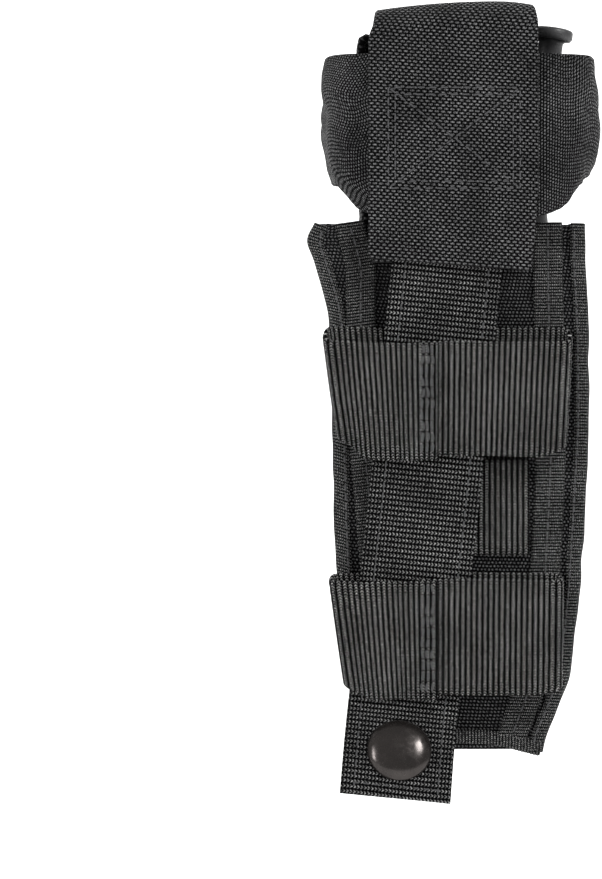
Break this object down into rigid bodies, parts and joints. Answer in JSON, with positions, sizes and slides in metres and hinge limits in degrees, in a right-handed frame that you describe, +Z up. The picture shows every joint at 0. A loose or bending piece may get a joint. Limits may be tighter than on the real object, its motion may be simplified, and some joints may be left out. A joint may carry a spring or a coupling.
{
  "type": "tourniquet in a belt pouch",
  "caption": "Black webbing pouch with bands, snap strap, elastic loop and flap, holding a folded windlass tourniquet with its rod, clip, plate and buckle.",
  "frame": {"origin": "on the vest plane, the outer faces of the two bands, at the middle of the pouch's width and midway between the bands", "axes": "+Z up the pouch towards the flap, -Y towards the wearer's vest, +X to the right seen from the wearer's side"},
  "size_m": [0.0636, 0.0646, 0.1834],
  "materials": {
    "cordura": "matte woven nylon",
    "webbing": "ribbed nylon webbing",
    "grosgrain": "fine ribbed grosgrain",
    "elastic": "woven elastic",
    "hook_loop": "hook and loop pile",
    "snap_metal": "gunmetal gloss",
    "bare_metal": "plain",
    "black_plastic": "grained",
    "tq_webbing": "napped webbing",
    "grey_webbing": "plain webbing"
  },
  "bodies": {
    "pouch": {"back_panel": "cordura", "front_panel": "cordura", "bottom_panel": "cordura", "mouth_binding": "grosgrain", "left_edge_binding": "grosgrain", "bottom_edge_binding": "grosgrain", "right_edge_binding": "grosgrain", "left_inner_tape": "grosgrain", "right_inner_tape": "grosgrain", "upper_band": "webbing", "lower_band": "webbing", "middle_row": "webbing", "molle_strap": "webbing", "snap_stud": "bare_metal", "snap_post": "bare_metal", "flap_anchor": "webbing", "flap_rear": "webbing", "loop_patch": "hook_loop", "retention_loop": "elastic"},
    "flap_top": {"flap_top": "webbing"},
    "flap_front": {"flap_front": "webbing", "hook_patch": "hook_loop", "flap_pull_tab": "webbing"},
    "tail": {"strap_tail": "webbing", "snap_cap": "snap_metal", "snap_socket": "bare_metal"},
    "tourniquet": {"tq_band_folds": "tq_webbing", "tq_front_run": "tq_webbing", "tq_base_plate": "black_plastic", "tq_ribbon": "tq_webbing", "tq_windlass_clip": "black_plastic", "tq_time_strap": "grey_webbing", "tq_buckle": "black_plastic"},
    "windlass": {"tq_windlass_rod": "black_plastic"}
  },
  "joints": [
    {"name": "flap_open", "type": "hinge", "parent": "pouch", "child": "flap_top", "pos_m": [-0.0017, 0.00225, 0.11665], "axis": [1, 0, 0], "range_deg": [0, 88]},
    {"name": "flap_unfold", "type": "hinge", "parent": "flap_top", "child": "flap_front", "pos_m": [-0.0017, 0.05225, 0.11665], "axis": [1, 0, 0], "range_deg": [0, 84]},
    {"name": "tourniquet_lift", "type": "slide", "parent": "pouch", "child": "tourniquet", "axis": [0, 0, 1], "range_m": [0, 0.0219]},
    {"name": "windlass_turn", "type": "hinge", "parent": "tourniquet", "child": "windlass", "pos_m": [0.0147, 0.0286, 0.0553], "axis": [0.9903, 0, -0.1392], "range_deg": [-12.5, 12.5]},
    {"name": "tail_lift", "type": "hinge", "parent": "pouch", "child": "tail", "pos_m": [-0.01289, 0.0019, -0.04174], "axis": [-0.9949, 0, 0.1011], "range_deg": [-8, 60]}
  ],
  "couplings": [
    {"joint": "flap_open", "follows": "tourniquet_lift", "rad_per_m": 70},
    {"joint": "flap_unfold", "follows": "tourniquet_lift", "rad_per_m": 66.5}
  ]
}
